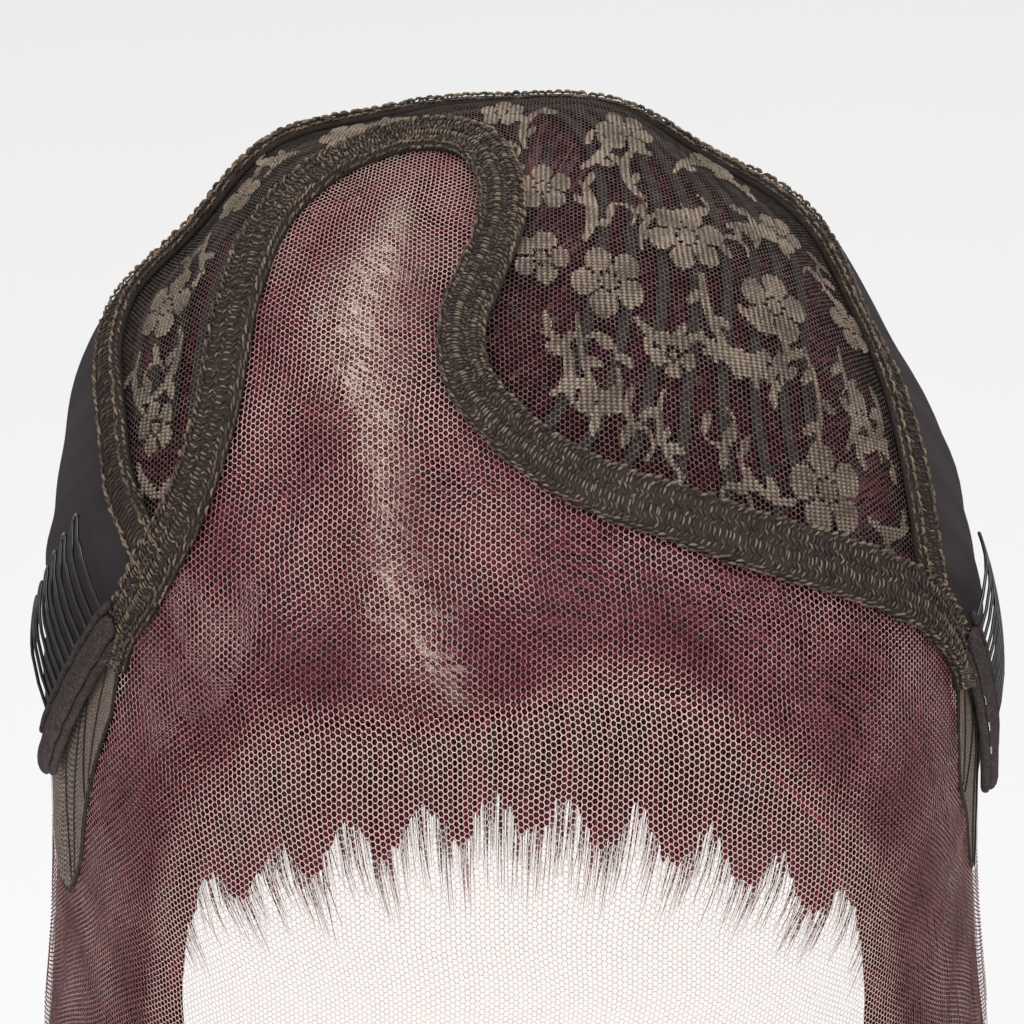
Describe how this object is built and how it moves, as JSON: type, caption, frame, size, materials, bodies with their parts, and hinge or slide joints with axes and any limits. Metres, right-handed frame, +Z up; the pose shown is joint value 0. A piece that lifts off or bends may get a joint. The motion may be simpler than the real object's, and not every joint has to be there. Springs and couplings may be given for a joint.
{
  "type": "lace front wig",
  "caption": "Lace front wig worn inside out to show its cap: net front, floral stretch lace crown, plain back panel, trims, ear tabs, wire combs and short hair inside.",
  "frame": {"origin": "middle of the head hollow at the cap's widest girth, which is the head_seat mount", "axes": "+Z up toward the crown, -Y toward the forehead, +X toward the right of a viewer who faces the front"},
  "size_m": [0.1749, 0.1936, 0.2254],
  "materials": {
    "front_lace": "matte, fine hexagonal net",
    "stretch_lace": "matte, floral stretch lace",
    "ribbed_panel": "matte, finely ribbed stretch cloth",
    "trim": "matte, looped knit elastic",
    "tape": "matte, chain-stitched tape",
    "tab_mesh": "matte, boned mesh",
    "sleeve": "matte, folded cloth",
    "comb_wire": "gloss black",
    "hair": "glossy fibre"
  },
  "bodies": {
    "root": {"lace_front": "front_lace", "crown_lace": "stretch_lace", "back_panel": "ribbed_panel", "front_trim": "trim", "crown_tape": "tape", "left_ear_tab": "tab_mesh", "right_ear_tab": "tab_mesh", "left_comb_sleeve": "sleeve", "left_comb": "comb_wire", "right_comb_sleeve": "sleeve", "right_comb": "comb_wire", "front_hair": "hair", "wefted_hair": "hair", "left_weft_1": "hair", "left_weft_2": "hair", "left_weft_3": "hair", "left_weft_4": "hair", "right_weft_1": "hair", "right_weft_2": "hair", "right_weft_3": "hair", "right_weft_4": "hair", "right_weft_5": "hair", "right_weft_6": "hair", "right_weft_7": "hair", "right_weft_8": "hair"}
  },
  "joints": []
}
